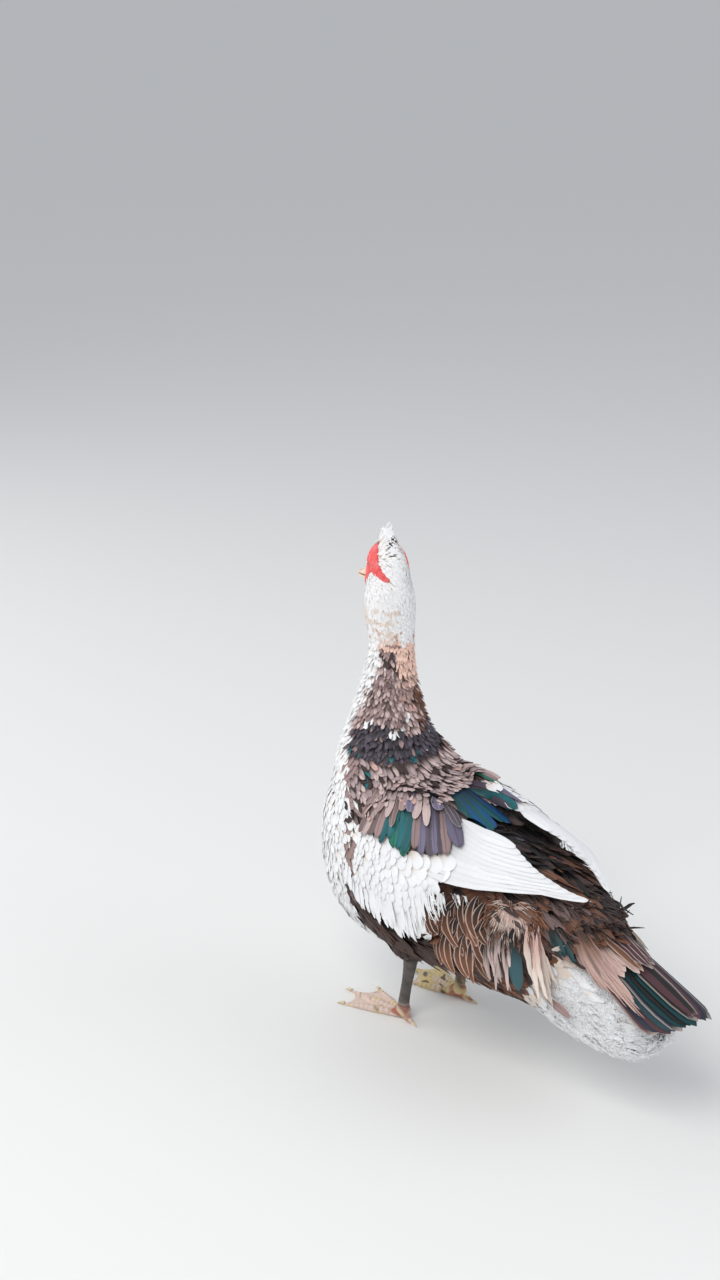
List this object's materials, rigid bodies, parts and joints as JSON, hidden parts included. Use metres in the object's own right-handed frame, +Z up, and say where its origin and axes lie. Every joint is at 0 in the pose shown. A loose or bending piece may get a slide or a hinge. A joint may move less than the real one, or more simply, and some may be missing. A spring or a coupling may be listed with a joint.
{
  "type": "muscovy duck figure",
  "caption": "Pied muscovy hen standing on webbed feet, neck stretched up, wings folded and tail lowered, as a still life-size figure.",
  "frame": {"origin": "the floor point below the middle of the whole duck", "axes": "+Z up; the duck's breast faces -Y and its tail points to +Y; its left side is at +X"},
  "size_m": [0.1712, 0.4518, 0.479],
  "materials": {
    "body_plumage": "matte overlapping feathers over flesh, white, mauve brown and near black",
    "soft_feathers": "loose white down and plumes with air between them",
    "wing_feathers": "smooth white vanes with black, teal and mauve ones above",
    "tail_feathers": "stiff vanes with a blue green and purple sheen",
    "bill": "smooth horn, satin",
    "face_skin": "bare warty skin, slightly waxy",
    "eye": "wet and glossy",
    "leg_skin": "small scales, satin, yellow with black mottling"
  },
  "bodies": {
    "root": {"tail": "tail_feathers", "vent_plumage": "soft_feathers", "breast": "body_plumage", "trunk": "body_plumage", "neck_lower": "body_plumage", "neck_upper": "body_plumage", "wing_left_cover": "wing_feathers", "wing_right_cover": "wing_feathers", "wing_left_flight": "wing_feathers", "wing_right_flight": "wing_feathers", "head": "body_plumage", "crest": "soft_feathers", "bill_upper": "bill", "bill_lower": "bill", "face_skin_left": "face_skin", "face_skin_right": "face_skin", "eye_left": "eye", "eye_right": "eye", "thigh_left": "body_plumage", "thigh_right": "body_plumage", "shank_left": "leg_skin", "shank_right": "leg_skin", "foot_left": "leg_skin", "foot_right": "leg_skin"}
  },
  "joints": []
}
